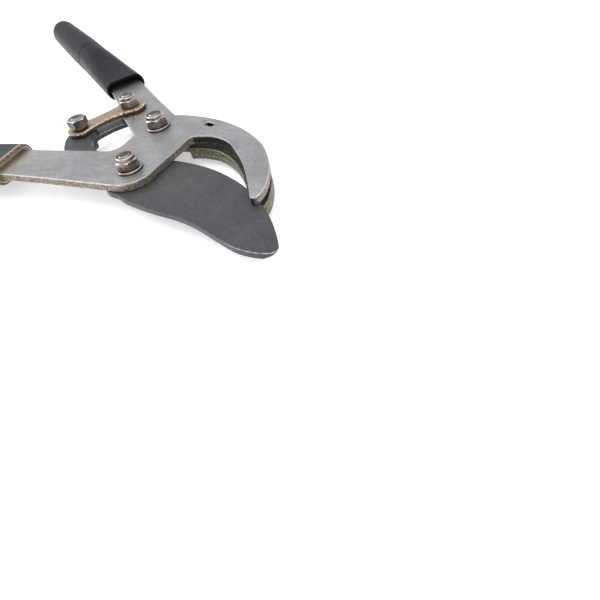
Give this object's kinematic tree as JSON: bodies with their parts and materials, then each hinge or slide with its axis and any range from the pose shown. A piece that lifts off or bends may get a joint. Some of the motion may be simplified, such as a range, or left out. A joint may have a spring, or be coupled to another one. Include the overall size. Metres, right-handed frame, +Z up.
{
  "type": "bypass loppers",
  "caption": "Compound-action bypass loppers: a curved hook of paired plates, a dark bypass blade driven by a link, and tapered tube handles.",
  "frame": {"origin": "under the middle of the whole tool, on the surface that it lies on", "axes": "+X along the fixed handle towards the jaws, +Y across towards the lever handle, +Z up out of the plates, the side of the pivot nuts"},
  "size_m": [0.4586, 0.3446, 0.0341],
  "materials": {
    "hook_steel": "satin ground faces, brown sheared edges",
    "rear_steel": "satin, browned edges",
    "blade_steel": "dark grey low-friction coating, ground edge",
    "yellow_zinc": "yellow zinc plate, bright edge",
    "link_steel": "dark grey coating",
    "bolt_zinc": "zinc plate",
    "nut_zinc": "bright zinc plate",
    "nylon": "matt",
    "washer_zinc": "zinc plate",
    "bushing_bronze": "sintered bronze",
    "fixed_tube_paint": "satin black-green paint",
    "lever_tube_paint": "satin black paint",
    "grip_vinyl": "satin vinyl",
    "cap_plastic": "matt"
  },
  "bodies": {
    "fixed_jaw": {"front_hook_plate": "hook_steel", "rear_hook_plate": "rear_steel", "hook_backing_plate": "rear_steel", "backing_rivet_near": "bolt_zinc", "backing_rivet_far": "bolt_zinc", "blade_pivot_bolt": "bolt_zinc", "blade_pivot_nut": "nut_zinc", "blade_pivot_nut_insert": "nylon", "blade_pivot_front_washer": "washer_zinc", "blade_pivot_rear_washer": "washer_zinc", "blade_pivot_bushing": "bushing_bronze", "lever_pivot_bolt": "bolt_zinc", "lever_pivot_nut": "nut_zinc", "lever_pivot_nut_insert": "nylon", "lever_pivot_front_washer": "washer_zinc", "lever_pivot_rear_washer": "washer_zinc", "lever_pivot_bushing": "bushing_bronze", "fixed_handle_tube": "fixed_tube_paint", "fixed_handle_grip": "grip_vinyl", "fixed_handle_end_cap": "cap_plastic"},
    "lever": {"lever_plate": "hook_steel", "lever_handle_tube": "lever_tube_paint", "lever_handle_grip": "grip_vinyl", "lever_handle_end_cap": "cap_plastic"},
    "blade_body": {"blade": "blade_steel"},
    "link": {"front_link": "yellow_zinc", "rear_link": "link_steel", "link_lever_bolt": "bolt_zinc", "link_lever_nut": "nut_zinc", "link_lever_nut_insert": "nylon", "link_lever_bushing": "bushing_bronze", "link_blade_bolt": "bolt_zinc", "link_blade_nut": "nut_zinc", "link_blade_nut_insert": "nylon", "link_blade_bushing": "bushing_bronze"}
  },
  "joints": [
    {"name": "lever_hinge", "type": "hinge", "parent": "fixed_jaw", "child": "lever", "pos_m": [0.0997, -0.06061, 0.0142], "axis": [0, 0, 1], "range_deg": [-40, 23]},
    {"name": "blade_hinge", "type": "hinge", "parent": "fixed_jaw", "child": "blade_body", "pos_m": [0.1087, -0.11261, 0.0142], "axis": [0, 0, 1], "range_deg": [-24.66, 14.22]},
    {"name": "link_hinge", "type": "hinge", "parent": "lever", "child": "link", "pos_m": [0.0522, -0.02511, 0.0142], "axis": [0, 0, 1], "range_deg": [-19.45, 33.76]}
  ],
  "couplings": [
    {"joint": "blade_hinge", "follows": "lever_hinge", "ratio": 0.614},
    {"joint": "link_hinge", "follows": "lever_hinge", "ratio": -0.8414}
  ]
}
